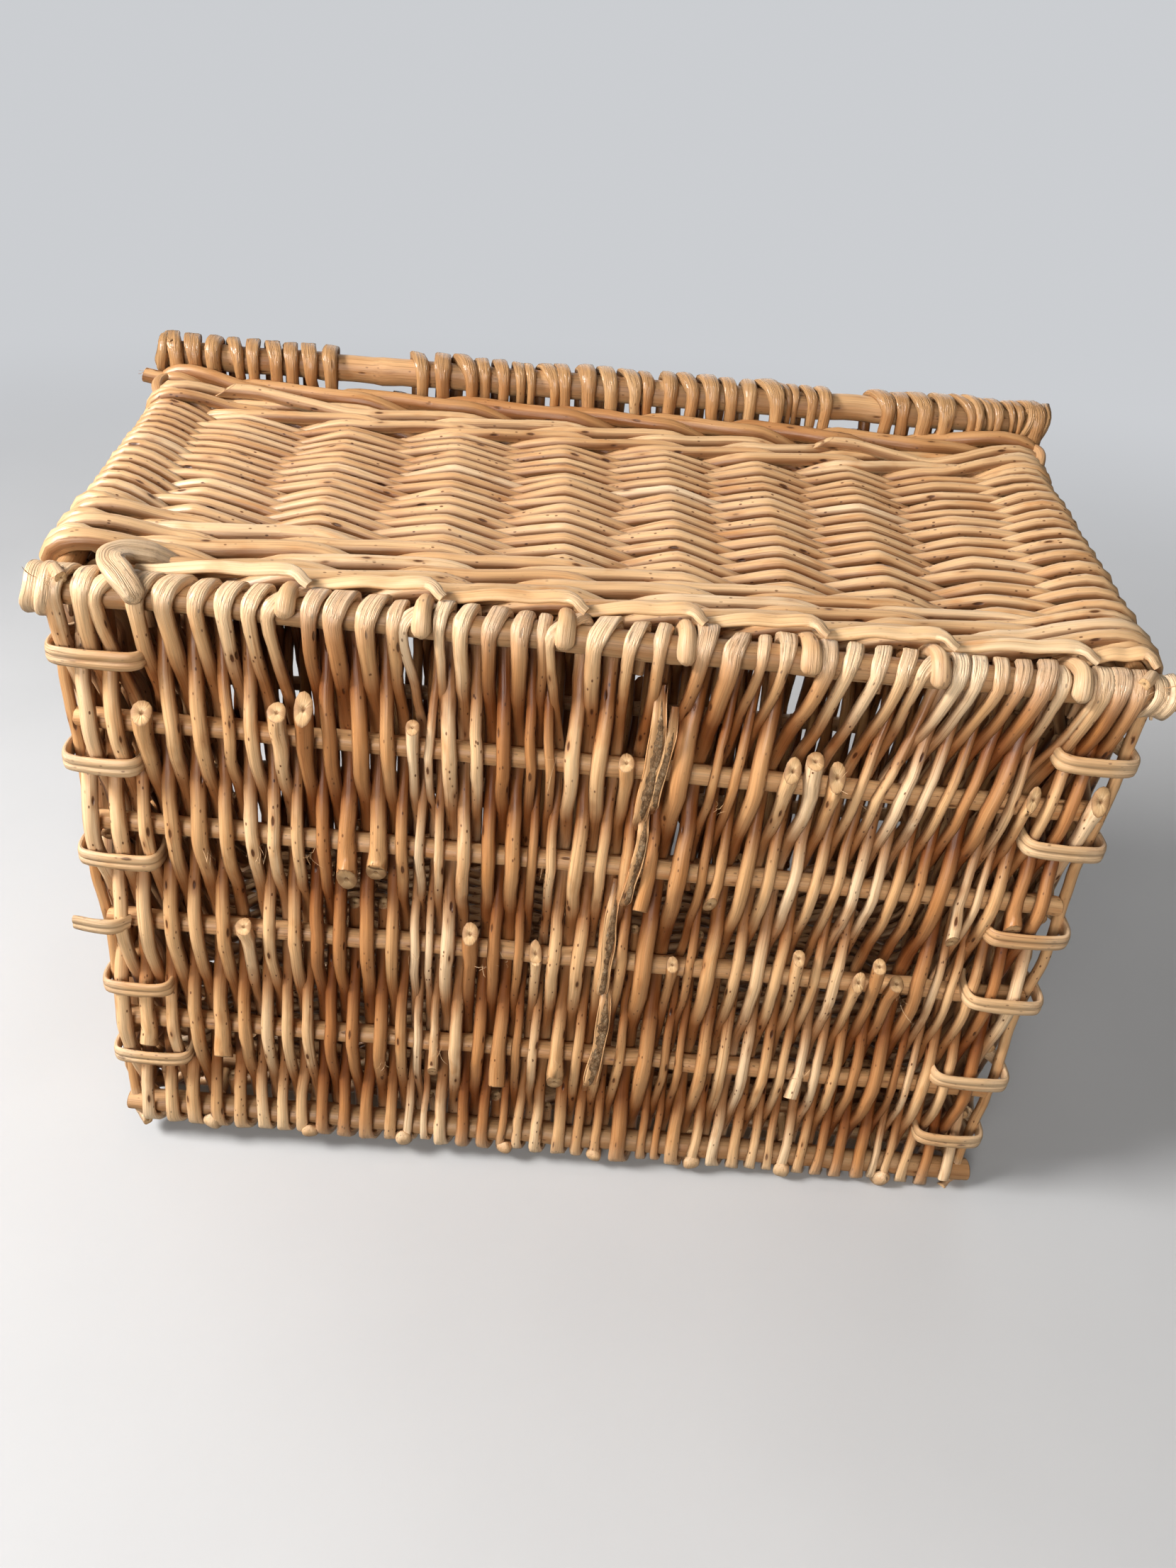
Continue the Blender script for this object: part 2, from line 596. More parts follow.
def lay_passes(x_from, x_to, rng, mean_r, packing, plain_margin=0.0):
    """Crosswise passes as [x, radius, worked as a thin pair], in groups of one thickness.

    packing is the spacing over the sum of radii; plain_margin keeps to the first kind of rod
    near both ends.
    """
    passes, x, before = [], x_from, None
    left = 0
    while True:
        if left <= 0:
            left = int(rng.integers(2, 5))
            draw = rng.random()
            kind = 0 if draw < 0.36 else (1 if draw < 0.78 else (2 if draw < 0.90 else 3))
            if x < x_from + plain_margin or x > x_to - plain_margin:
                kind = 0
            group_r = (rng.uniform(3.9, 4.5), rng.uniform(3.25, 3.9),
                       rng.uniform(2.6, 3.1), rng.uniform(4.5, 5.2))[kind]
        left -= 1
        r = group_r * (1 + rng.normal() * 0.03) * mean_r / 3.6
        if before is not None:
            x += (before + r) * packing
        if x > x_to:
            break
        passes.append([x, r, kind == 3])
        before = r
    stretch = (x_to - x_from) / (passes[-1][0] - x_from)
    for entry in passes:
        entry[0] = x_from + (entry[0] - x_from) * stretch
    if len(passes) % 2:
        passes.pop()
    return passes


def wrap(x_from, x_to, r_from, r_to, stick_y, stick_r, level, face):
    """Turn round an outer stick from one pass to the next: points, radii and wear."""
    angle = np.linspace(0, math.pi, 13)[1:]
    sine, cosine = np.sin(angle), np.cos(angle)
    ease = 0.8 * (0.5 - 0.5 * cosine) + 0.2 * angle / math.pi
    reach = stick_r + r_to * (0.72 - 0.10 * sine)
    points = np.stack([
        x_from + (x_to - x_from) * ease,
        stick_y + math.copysign(1, stick_y) * reach * sine ** 0.72,
        level + face * reach * np.sign(cosine) * np.abs(cosine) ** 0.80], 1)
    press = np.clip(sine * 1.6, 0, 1)
    r = r_from + (r_to - r_from) * ease
    return points, np.stack([r * (1.04 + 0.20 * press), r * (0.90 - 0.24 * press)], 1), \
        0.35 + 0.65 * press


def span(start, end, r, arriving, leaving):
    """Swing of a rod from one side of a stick to the other side of the next."""
    t = np.linspace(0, 1, SPAN_STEPS + 1)[1:]
    swing = 0.72 * (0.5 - 0.5 * np.cos(math.pi * t)) + 0.28 * t
    points = start + (end - start) * np.stack([t, t, swing], 1)
    wear, cross = np.zeros(SPAN_STEPS), np.ones(SPAN_STEPS)
    if arriving:
        wear, cross = ARRIVING_WEAR, ARRIVING_R
    elif leaving:
        wear, cross = ARRIVING_WEAR[::-1], ARRIVING_R[::-1]
    flat = r * (1 - 0.05 * np.sin(math.pi * t)) * 1.04
    return points, np.stack([flat, r * cross], 1), wear


def panel(rods, stick_y, stick_r, level, show, passes, lean, rng, pick_tone,
          is_bare=lambda x, at_front: False):
    """Rods woven over and under the lengthwise sticks and wrapped round the outer two.

    show is -1 when the show side is the underside. lean(x, y) moves a rod sideways.
    is_bare(x, at_front) is true where a rod turns round the helper rod instead.
    """
    last = len(stick_y) - 1

    def spot(row, stick):
        """Place and radius of what pass row meets at this stick."""
        y, r = stick_y[stick], stick_r[stick]
        if stick in (0, last):
            first = row // 2 * 2 if stick == 0 else (row + 1) // 2 * 2 - 1
            turn = [passes[k][0] for k in (first, first + 1) if 0 <= k < len(passes)]
            if is_bare(sum(turn) / len(turn), stick == 0):
                return y - math.copysign(HELPER_INSET, y), HELPER_R
        return y, r

    def leaning_x(row, stick):
        return passes[row][0] + lean(passes[row][0], stick_y[stick])

    # one continuous line over all passes: (pass, stick, side of the stick)
    stations = []
    for row in range(len(passes)):
        order = range(last, -1, -1) if row % 2 == 0 else range(last + 1)
        stations += [(row, stick, show if (row + stick) % 2 == 0 else -show) for stick in order]

    # cut the line into rods, each starting with a butt on the show side of an inner stick
    starts, k = [0], 0
    while True:
        k += int(rng.integers(11, 21))
        while k < len(stations) - 3 and not (
                stations[k][2] == show
                and stations[k - 1][0] == stations[k][0] == stations[k + 1][0]):
            k += 1
        if k >= len(stations) - 4:
            break
        starts.append(k)

    def butt(here, k, r, face):
        """Start of a rod, resting on its stick and standing a little proud."""
        extra = rng.uniform(8, 26) if k else 4.0
        lift = rng.uniform(0.3, 4.0) if k else 0.0
        heading = np.sign(stations[k + 1][1] - stations[k][1])
        tip = here + np.array([rng.normal() * 1.2, -heading * extra, face * lift])
        middle = tip * 0.5 + here * 0.5 + np.array([0, 0, face * 0.2 * lift])
        swell = np.array([[1.25], [1.23], [1.15]]) if k else 1.0
        return np.stack([tip, middle, here]), np.full((3, 2), r) * swell, np.zeros(3)

    def rod_path(first, stop):
        parts = []
        for k in range(first, stop):
            row, stick, face = stations[k]
            r = passes[row][1]
            y, around = spot(row, stick)
            x = leaning_x(row, stick)
            outer = stick in (0, last)
            here = np.array([x, y, level + face * (around + r * (0.72 if outer else 0.98))])
            old_row, old_stick, old_face = stations[k - 1]
            if k == first:
                parts.append(butt(here, k, r, face))
            elif old_row != row:
                parts.append(wrap(leaning_x(old_row, old_stick), x, passes[old_row][1], r,
                                  y, around, level, old_face))
            else:
                parts.append(span(parts[-1][0][-1], here, r, outer, old_stick in (0, last)))
        if stop < len(stations):         # the tail goes on past its last stick, out of sight
            end = parts[-1][0][-1]
            ahead = np.sign(stations[stop][1] - stick) * rng.uniform(10, 24)
            tail = [end + np.array([0, ahead * 0.5, -face * 0.4]),
                    end + np.array([rng.normal(), ahead, -face * 1.5])]
            parts.append((np.stack(tail), np.full((2, 2), r * 0.95), np.zeros(2)))
        return [np.concatenate(column) for column in zip(*parts)]

    for first, stop in zip(starts, starts[1:] + [len(stations)]):
        tone = pick_tone(rng)
        x, _, double = passes[stations[first][0]]
        if abs(x) > 262 and show < 0:    # paler rods towards the ends of the base
            tone = 0.5 + 0.45 * tone
        path, radius, wear = rod_path(first, stop)
        dist = arc_length(path)
        radius = radius * (1.07 - 0.16 * dist / max(dist[-1], 400))[:, None]
        slant = rng.uniform(0.5, 2.3)
        keep = np.concatenate([[True], np.linalg.norm(np.diff(path, axis=0), axis=1) > 0.05])
        path, radius, wear, dist = path[keep], radius[keep], wear[keep], dist[keep]
        if not double:
            rods.tube(path, radius, rng, tone, ref=(1, 0, 0), wear=wear, slope=(slant, 0.3),
                      lobes=0.035, cut_dir=(0, 0, show))
            continue
        for side, pair_tone in ((-1, tone), (1, pick_tone(rng))):
            twin = path.copy()
            twin[:, 0] += side * radius[:, 0] * 0.53
            twin[:, 2] += side * wave(dist, rng, 160, 0.7)
            rods.tube(twin, radius * np.array([0.56, 0.74]), rng, pair_tone, ref=(1, 0, 0),
                      sides=10, ends=("cut", "tip"), wear=wear, slope=(slant, 0), lobes=0.04,
                      cut_dir=(0, 0, show))


def end_rod(rods, x, rng, z, r, reach, tone):
    """The last thin rod along a short end, bent over both outer sticks."""
    bent = np.array([(x * 0.965, reach + 5, z - 9), (x * 0.985, reach + 6.5, z - 3),
                     (x, reach + 3, z + 1.5)])
    t = np.linspace(0, 1, 60)
    middle = np.stack([x + math.copysign(1.2, x) * np.sin(t * 17),
                       (reach - 6) * (2 * t - 1), z + 1.5 + 1.5 * np.sin(t * 23)], 1)
    path = np.concatenate([bent * (1, -1, 1), middle, bent[::-1]])
    wear = np.zeros(len(path))
    wear[:5] = wear[-5:] = 0.8
    rods.tube(path, r, rng, tone, ref=(1, 0, 0), sides=10, wear=wear)


def fray(rods, at, along, rng, count, size, r=0.35):
    """Torn fibres at the end of a rod."""
    at, along = np.array(at, float), unit(np.array(along, float))
    t = np.linspace(0, 1, 6)[:, None]
    for _ in range(count):
        heading = unit(along + rng.normal(size=3) * 0.5)
        curl = rng.normal(size=3) * 0.5
        length = size * rng.uniform(0.5, 1.2)
        path = at + rng.normal(size=3) * 1.6 + heading * length * t + curl * length * t ** 2
        rods.tube(path, r * rng.uniform(0.6, 1.6), rng, tone=0.85, ref=(0.3, 0.5, 1), sides=5,
                  ends=("tip", "round"), bend=0)


def knot(rods, x, rng, turns, r, width, tone, y, z, stick_r):
    """A few heavy turns of rod round the front outer stick."""
    angle = np.linspace(-0.35 * math.pi, 1.3 * math.pi, 22)
    for k in range(turns):
        middle = x + width * (k - (turns - 1) / 2)
        reach = stick_r + r * 0.75 + 0.8 * np.sin(angle * 2 + k)
        drift = rng.uniform(2, 5) * (angle / math.pi - 0.5)
        path = np.stack([middle + drift + 0.8 * np.sin(angle * 3),
                         y - reach * np.sin(angle), z - reach * np.cos(angle)], 1)
        path[-4:, 1] += np.array([1.0, 3, 6, 10])
        rods.tube(path, [[r, r * 0.75]], rng, tone, ref=(1, 0, 0), ends=("cut", "tip"),
                  wear=0.95, lobes=0.09, rough=0.05)


# ------------------------------------------------------------------ base weave
def base_lean(x, y):
    """Wraps round the front stick drift outwards, more on the right than on the left."""
    share = np.interp(y, (-195, -118, -48, 30), (1.0, 0.34, 0.12, 0.0))
    drift = np.interp(x, (-290, -250, -60, -10, 60, 150, 225, 270, 290),
                      (0, -6, -8, -5, 10, 23, 20, 8, 3))
    moved = x + drift * share + 1.3 * math.sin(x * 0.51 + 2 * y) * math.sin(x * 0.093 + 1)
    if y < -190:
        for foot_x in (-253.0,) + FRONT_FEET_X:      # wraps keep clear of the feet
            off = abs(moved - foot_x)
            if off < 12:
                moved = foot_x + math.copysign(8.2 + off * 3.8 / 12, moved - foot_x)
    return moved - x


def base_weave():
    rng = np.random.default_rng(11)
    rods = Rods()
    passes = lay_passes(-282.5, 282.5, rng, mean_r=3.66, packing=0.895, plain_margin=28.0)
    panel(rods, BASE_STICK_Y, BASE_STICK_R, BASE_Z, -1, passes, base_lean, rng,
          lambda source: random_tone(source, 0.58, 0.30))
    for x, tone in ((-287.5, 0.5), (287.5, 0.6)):
        end_rod(rods, x, rng, BASE_Z, r=3.3, reach=201.0, tone=tone)
    for x, r, width, tone in ((-288.0, 4.6, 7.2, 0.7), (291.0, 3.6, 6.4, 0.8)):
        knot(rods, x, rng, 2, r, width, tone, BASE_STICK_Y[0], BASE_Z, BASE_STICK_R[0])
    fray(rods, (-284, -206, 2), (0.3, 0.2, -1), rng, count=14, size=7)
    fray(rods, (285, -206, 1), (0.3, 0.2, -1), rng, count=12, size=6)
    for k in range(16):          # whiskers left where old ends were torn
        stick_y = BASE_STICK_Y[1 + k % 4]
        at = (rng.uniform(-240, 240), stick_y + rng.uniform(-12, 12), rng.uniform(-6, 2))
        along = (rng.normal() * 0.3, rng.choice([-1, 1]), -0.6)
        fray(rods, at, along, rng, count=4, size=8, r=0.25)
    return rods


# rods split lengthwise under the base: x and y of both ends, width
SPLIT_RODS = ((31.1, -165.4, 29.6, -86.8, 8.6), (38.8, -152.9, 35.4, -99.3, 5.6),
              (31.6, -87.0, 28.0, -27.2, 6.4), (22.3, -32.0, 20.0, 49.7, 7.4),
              (24.6, 47.0, 21.4, 134.9, 8.2))


def split_rods(rods):
    """Add the split rods to the base weave and make the pith they show."""
    rng = np.random.default_rng(61)
    pith = Rods()
    count = 40
    t = np.linspace(0, 1, count)
    near_end = 1 - smooth(t, 0.0, 0.2) + smooth(t, 0.8, 1.0)
    for xa, ya, xb, yb, width in SPLIT_RODS:
        path = np.stack([xa + (xb - xa) * t + 1.0 * np.sin(t * 5.1 + xa),
                         ya - 9 + (yb - ya + 18) * t,
                         1.0 - 0.8 * np.sin(t * 3.1) + 9.5 * near_end], 1)
        widths = width * (1 - 0.25 * near_end) * (1 + 0.05 * np.sin(t * 17 + width))
        rods.strip(path, (0.25, 0, -1), widths, 2.4, rng, tone=0.5, wear=0.1, crease=0.0)
        for side in (-1, 1):     # raised rims of the split rod
            rim = path + np.stack([side * widths * 0.47, np.zeros(count),
                                   np.full(count, -0.8)], 1)
            rods.tube(rim, [[0.5, 0.8]], rng, tone=0.6, ref=(1, 0, 0), sides=8,
                      ends=("tip", "tip"))
        crumble = 0.85 + 0.3 * np.sin(t * 90 + width) * np.sin(t * 37)
        radius = np.stack([widths * 0.43, crumble], 1)
        core = path + np.array([0.0, 0.0, -1.0])
        pith.tube(core[2:-2], radius[2:-2], rng, tone=0.4, ref=(1, 0, 0), sides=14,
                  ends=("tip", "tip"), rough=0.06, lobes=0.16)
    pith.make("split_rod_pith", pith_material("willow_pith"), "weavers")


# ------------------------------------------------------------------ sticks
# base sticks from front to back: reach to the left, reach to the right, tone
BASE_STICKS = ((292, 300, 0.55), (284, 286, 0.66), (284, 284, 0.7), (284, 284, 0.66),
               (284, 284, 0.6), (290, 294, 0.5))
LID_STICK_ENDS = {True: (312.5, 316.0), False: (301.0, 303.0)}     # by whether outer


def stick(prefix, i, left, right, y, z, r, seed, tone, material, **make_settings):
    name = {0: f"{prefix}_outer_stick_front", 5: f"{prefix}_outer_stick_back"}.get(
        i, f"{prefix}_inner_stick_{i}")
    t = np.linspace(0, 1, 90)[:, None]
    path = np.array((-left, y, z)) * (1 - t) + np.array((right, y, z)) * t
    rods = Rods()
    rods.tube(path, r, np.random.default_rng(seed), tone, sides=20, rough=0.012, bend=0.5,
              slope=(0.12, -0.15))
    rods.make(name + "_rod", material, "sticks", name, **make_settings)


def all_sticks():
    for i, (left, right, tone) in enumerate(BASE_STICKS):
        stick("base", i, left, right, BASE_STICK_Y[i], BASE_Z, BASE_STICK_R[i], 100 + i, tone,
              STICK_WILLOW if i in (0, 5) else INNER_WILLOW)
    for i, y in enumerate(LID_STICK_Y):
        left, right = LID_STICK_ENDS[i in (0, 5)]
        stick("lid", i, left, right, y, LID_Z, LID_STICK_R[i], 120 + i, 0.5, STICK_WILLOW,
              body="lid", racked=False)


# ------------------------------------------------------------------ posts round the walls
SIDES = ("front", "back", "left", "right")
Post = namedtuple("Post", "kind x y out")      # kind is corner or a side; out points outwards


def corner(sign_x, sign_y):
    diagonal = math.sqrt(0.5)
    return Post("corner", sign_x * RIM_X, sign_y * RIM_Y, (sign_x * diagonal, sign_y * diagonal))


# counter-clockwise seen from above, from the front left corner
POSTS = [corner(-1, -1)]
POSTS += [Post("front", x, -RIM_Y, (0, -1)) for x in FRONT_STAKES_X]
POSTS += [corner(1, -1)]
POSTS += [Post("right", RIM_X, y, (1, 0)) for y in END_STAKES_Y]
POSTS += [corner(1, 1)]
POSTS += [Post("back", x, RIM_Y, (0, 1)) for x in BACK_STAKES_X[::-1]]
POSTS += [corner(-1, 1)]
POSTS += [Post("left", -RIM_X, y, (-1, 0)) for y in END_STAKES_Y[::-1]]
POST_COUNT = len(POSTS)


def post(k):
    return POSTS[k % POST_COUNT]


def post_r(k):
    return CORNER_R if post(k).kind == "corner" else STAKE_R


def tilt(k):
    """Rise of the weave at a post: up to the left and down to the right, most at the front."""
    return -0.06 * post(k).x * (RIM_Y - post(k).y) / (2 * RIM_Y)


def wale_z(k, z):
    """Height in the bottom wale, tilted more with height over 30."""
    return 30 + (z - 30) * (1 + tilt(k) / 60)


def weave_z(k, z):
    """Height in the wall weave, tilted less towards 274, where the tilt is used up."""
    return z + tilt(k) * (274 - z) / 182


def post_at(k, z):
    kind, x, y, _ = post(k)
    wide, deep = half_x(z), half_y(z)
    if kind == "corner":
        return np.array([math.copysign(wide + 5, x), math.copysign(deep + 4.5, y)])
    if kind in ("front", "back"):
        return np.array([x * wide / FOOT_X, math.copysign(deep, y)])
    return np.array([math.copysign(wide, x), y * deep / FOOT_Y])


def post_path(k, z_from, z_to):
    return np.array([[*post_at(k, z), z] for z in np.linspace(z_from, z_to, 40)])


def ring_path(first, offsets, heights, pull, lead, tail, steps=9):
    """Curve past successive posts, at offsets outwards from them; pull sets its fullness."""
    knots, tangents, pulls = [], [], []
    for k, (offset, z) in enumerate(zip(offsets, heights), first):
        out = post(k).out
        place = post_at(k, z) + np.array(out) * offset
        knots.append(np.array([*place, z]))
        tangents.append(np.array([-out[1], out[0], 0.0]))
        pulls.append(1.05 if post(k).kind == "corner" else pull)
    parts = [[knots[0] - tangents[0] * lead]]
    for k in range(len(knots) - 1):
        a, b = knots[k], knots[k + 1]
        chord = np.linalg.norm(b - a)
        t = np.linspace(0, 1, steps + 1)[(0 if k == 0 else 1):, None]
        parts.append((2 * t ** 3 - 3 * t ** 2 + 1) * a
                     + (t ** 3 - 2 * t ** 2 + t) * chord * pulls[k] * tangents[k]
                     + (-2 * t ** 3 + 3 * t ** 2) * b
                     + (t ** 3 - t ** 2) * chord * pulls[k + 1] * tangents[k + 1])
    parts.append([knots[-1] + tangents[-1] * tail])
    return np.concatenate(parts)


def side_of(path):
    middle = path.mean(0)
    if abs(middle[0]) / FOOT_X > abs(middle[1]) / FOOT_Y:
        return "right" if middle[0] > 0 else "left"
    return "front" if middle[1] < 0 else "back"


def rods_by_side():
    return {side: Rods() for side in SIDES}


# ------------------------------------------------------------------ wall weave and waling
def wall_weave():
    """Single rods, in front of one stake and behind the next, thinner towards the rim."""
    rods = rods_by_side()
    rng = np.random.default_rng(21)
    z, row = 90.5, 0
    while z < 271.0:
        pitch = 7.75 - 2.15 * (z - 60) / 230
        row_r = pitch * 0.585 * (1 + 0.04 * rng.normal())
        phase = row % 2
        # rod joints, always behind a stake
        first = 1 - phase + 2 * int(rng.integers(0, 5))
        joints, k = [], first
        while k < first + POST_COUNT:
            joints.append(k)
            k += 2 * int(rng.integers(3, 7))
        if first + POST_COUNT - joints[-1] < 6:
            joints.pop()
        joints.append(first + POST_COUNT)
        uneven = [rng.normal() * 0.3 for _ in range(POST_COUNT)]
        for a, b in zip(joints[:-1], joints[1:]):
            r = row_r * rng.uniform(0.96, 1.05)
            offsets = [(post_r(k) + r * 0.97) * (1 if (k + phase) % 2 == 0 else -1)
                       for k in range(a, b + 1)]
            offsets[0] -= 1.7 * r
            heights = [weave_z(k, z) + uneven[k % POST_COUNT] for k in range(a, b + 1)]
            path = ring_path(a, offsets, heights, pull=0.30, lead=rng.uniform(8, 16),
                             tail=rng.uniform(6, 14))
            t = np.linspace(0, 1, len(path))
            crowd = np.interp(t, (0, 1), (1 - 0.8 * tilt(a) / 182, 1 - 0.8 * tilt(b) / 182))
            radius = r * (1.05 - 0.10 * t) * crowd
            # pressed a little flatter between the stakes
            near_stake = np.abs(((np.arange(len(path)) - 1) % 9) / 9 - 0.5) * 2
            tone = random_tone(rng, 0.66, 0.09, low=0.1)
            rods[side_of(path)].tube(
                path, np.stack([radius * (0.84 + 0.16 * near_stake), radius], 1), rng, tone,
                sides=10, lobes=0.025, bend=0.25, slope=(rng.uniform(-0.8, 0.8), 0.4))
        z += pitch
        row += 1
    return rods


def waling(rng, rounds, r, low_z, step, lift, mean_tone, butts_out, push=0.0,
           threes=(2, 5), tilted=False):
    """Three-rod wale: each rod runs in front of two posts and behind one.

    step is the rise per round, lift the slope across the two front posts, push an extra
    distance outwards, threes the range of a rod's length in threes of posts, and butts_out
    the share of butts left lying on the outside.
    """
    rods = rods_by_side()
    for level in range(rounds):
        for strand in range(3):
            a = strand
            while a < POST_COUNT + strand:
                b = min(a + 3 * int(rng.integers(threes[0], threes[1] + 1)),
                        POST_COUNT + strand + 1)
                rod_r = r * rng.uniform(0.9, 1.1)
                offsets, heights = [], []
                for k in range(a, b + 1):
                    phase = (k - strand) % 3
                    at_corner = post(k).kind == "corner"
                    z = low_z + level * step + (0, -lift, lift)[phase]
                    heights.append((wale_z(k, z) if tilted else z) + rng.normal() * 0.35)
                    offset = post_r(k) + rod_r * 0.97
                    if phase:
                        offset += 0.3 * push if at_corner else push
                    else:
                        offset = -offset
                    if phase == 2:
                        offset += rod_r * 0.1
                    if k == a:
                        offset -= 1.5 * rod_r
                        if rng.random() < butts_out and not at_corner:
                            offset = post_r(k) + rod_r * 2.75 + push
                    offsets.append(offset)
                path = ring_path(a, offsets, heights, pull=0.8, lead=rng.uniform(8, 18),
                                 tail=rng.uniform(6, 16))
                radius = rod_r * (1.06 - 0.12 * np.linspace(0, 1, len(path)))
                if tilted:
                    radius = radius * np.linspace(1 + tilt(a) / 60, 1 + tilt(b) / 60,
                                                  len(path)) ** 0.9
                tone = random_tone(rng, mean_tone, 0.09, low=0.05)
                rods[side_of(path)].tube(path, np.stack([radius * 0.97, radius], 1), rng, tone,
                                         slope=(1.6, 0.5), cut_dir=(*post(a).out, 0))
                a = b
    return rods


# bent rods at the front corners: side in x, shift in y, radius, top height, outermost x
CORNER_RODS = ((1, -1.0, 4.4, 313.0, 308.5), (1, 7.0, 3.8, 306.0, 309.5),
               (1, 14.0, 3.6, 296.0, 309.0), (-1, -1.0, 4.4, 312.0, 308.5),
               (-1, 7.5, 3.8, 305.0, 309.0))


def border_corners(border):
    """Extra border rods at the corners."""
    rng = np.random.default_rng(36)
    for sign_x, sign_y in ((-1, -1), (1, -1), (1, 1), (-1, 1)):
        side = "front" if sign_y < 0 else "back"
        x, y = sign_x * half_x(312), sign_y * half_y(312)
        for k in range(2):       # bent border rods tucked round the corner post
            angle = np.linspace(-rng.uniform(0.9, 1.2), 1.9, 16)
            reach = CORNER_R + 3.0 + 2.0 * k
            path = np.stack([x + sign_x * reach * np.cos(angle),
                             y + sign_y * reach * np.sin(angle),
                             302 + 12 * k + 7 * np.sin(angle * 1.3)], 1)
            border[side].tube(path, 4.6 - 0.6 * k, rng, tone=0.4, ends=("cut", "tip"),
                              wear=0.3, slope=(1.2, 0))
    rng = np.random.default_rng(37)
    for sign_x, shift_y, r, top_z, far_x in CORNER_RODS:
        path = np.array([(280, -203, top_z - 3), (291, -208.5, top_z + 1),
                         (302, -210.5, top_z - 1), (far_x, -210.5, top_z - 9),
                         (far_x, -209, top_z - 20), (far_x - 4, -204, top_z - 29),
                         (293, -196, top_z - 34)], float)
        path[:, 0] *= sign_x
        path[:, 1] += shift_y
        path = cut_corners(path, 3)
        border["front"].tube(path, np.linspace(1.05, 0.92, len(path)) * r, rng,
                             tone=rng.uniform(0.45, 0.7), ref=(0, 1, 0), sides=14,
                             ends=("tip", "tip"), wear=0.25, lobes=0.05)
    # one rod sticks out past the front left corner, with a frayed end
    tip = (-323, -210, 315.5)
    path = [(-270, -200, 311), (-290, -205, 313), (-306, -208, 314.5), tip]
    border["front"].tube(path, 5.0, rng, tone=0.75, sides=14, ends=("tip", "cut"),
                         slope=(0, 0.2), cut_dir=(0, -1, 0))
    fray(border["front"], tip, (-1, 0, 0), rng, count=8, size=3, r=0.4)


# ------------------------------------------------------------------ stakes, feet, tails, loops
CORNER_POSTS = (("front_left", 0), ("front_right", 9), ("back_right", 16), ("back_left", 25))

# path of the heavy twisted foot at the front left corner: x, y, z
TWISTED_FOOT = np.array([
    (-226, -190, 47), (-231, -199, 43), (-242, -206, 39.5), (-254, -209.5, 34),
    (-259, -210.5, 25), (-257, -210.3, 16), (-250, -209, 8), (-243, -205, 1.5),
    (-238, -200, -3)], float)

# y of the loops on the left and right ends, and which left loop is broken off
LOOPS_Y = {"left": (-162.0, -95.0, -29.0, 22.0, 77.0, 138.0),
           "right": (-155.0, -98.0, -32.0, 21.0, 93.0, 153.0)}
BROKEN_LOOP = ("left", 3)


def foot(rods, x, sign_y, rng, reach, shift):
    """Foot of a long-side stake: bent under the outer base stick, with a blunt end."""
    stick_y = BASE_STICK_Y[-1]
    turn_r = BASE_STICK_R[-1] + 5.1 * 0.86
    points = [(x - 1.0, 188.0, 46.0), (x - 0.6, 192.0, 37.0), (x, 198.5, 30.5), (x, 204.0, 25.0)]
    for angle in np.linspace(math.radians(12), math.radians(96 + reach), 12):
        points.append((x + shift * angle, stick_y + turn_r * math.cos(angle),
                       BASE_Z - turn_r * math.sin(angle)))
    path = soften(np.array(points) * np.array([1, sign_y, 1]), 2)
    t = np.linspace(0, 1, len(path))
    radius = np.stack([np.interp(t, (0, 0.3, 0.75, 1), (4.4, 4.8, 5.4, 5.0)),
                       np.interp(t, (0, 0.3, 0.75, 1), (4.2, 4.4, 4.2, 4.0))], 1)
    rods.tube(path, radius, rng, tone=rng.uniform(0.55, 0.85), ref=(1, 0, 0), sides=18,
              ends=("cut", "round"), wear=np.interp(t, (0, 0.3, 0.6, 1), (0, 0.1, 0.35, 0.3)),
              lobes=0.04, bend=0.15)


def twisted_foot(rods, rng):
    count = 44
    index = np.linspace(0, len(TWISTED_FOOT) - 1, count)
    knots = np.arange(len(TWISTED_FOOT))
    path = np.stack([np.interp(index, knots, column) for column in TWISTED_FOOT.T], 1)
    t = np.linspace(0, 1, count)
    radius = np.stack([np.interp(t, (0, 0.8, 1), (4.5, 5.0, 4.4)),
                       np.interp(t, (0, 0.25, 0.5, 0.75, 1), (4.6, 6.2, 7.2, 6.6, 5.0))], 1)
    rods.tube(soften(path, 4), radius, rng, tone=0.8, ref=(0, -1, -0.35), sides=20,
              ends=("cut", "round"), wear=np.interp(t, (0, 0.25, 1), (0.1, 0.8, 0.6)),
              lobes=0.05)


def scallom_tails(sign_y, stops, rng):
    """Sliced tails along the wall between the feet, each passing over the next foot."""
    rods = Rods()
    count = 34
    t = np.linspace(0, 1, count)
    out = (204.5 + 5.0 * smooth(t, 0.05, 0.5) + 2.5 * smooth(t, 0.6, 0.85)
           - 3.0 * smooth(t, 0.93, 1.0))
    up = np.stack([0.5 * smooth(t, 0.85, 1.0), np.full(count, sign_y * 0.90),
                   np.full(count, -0.35)], 1)
    width = np.interp(t, (0, 0.15, 0.5, 0.88, 1), (5.0, 7.0, 8.2, 8.4, 6.0))
    for a, b in zip(stops[:-1], stops[1:]):
        x = a + 3 + (b + 9.5 - a - 3) * t
        lift = rng.uniform(-0.8, 1.6)
        z = 25.2 + 0.5 * lift + 1.2 * np.sin(t * 3.2) - 8.0 * smooth(t, 0.87, 1.0)
        rods.strip(np.stack([x, sign_y * out, z], 1), up, width, 3.2, rng,
                   tone=rng.uniform(0.74, 0.96), wear=0.5 * smooth(t, 0.78, 0.9), crease=0.02)
    return rods


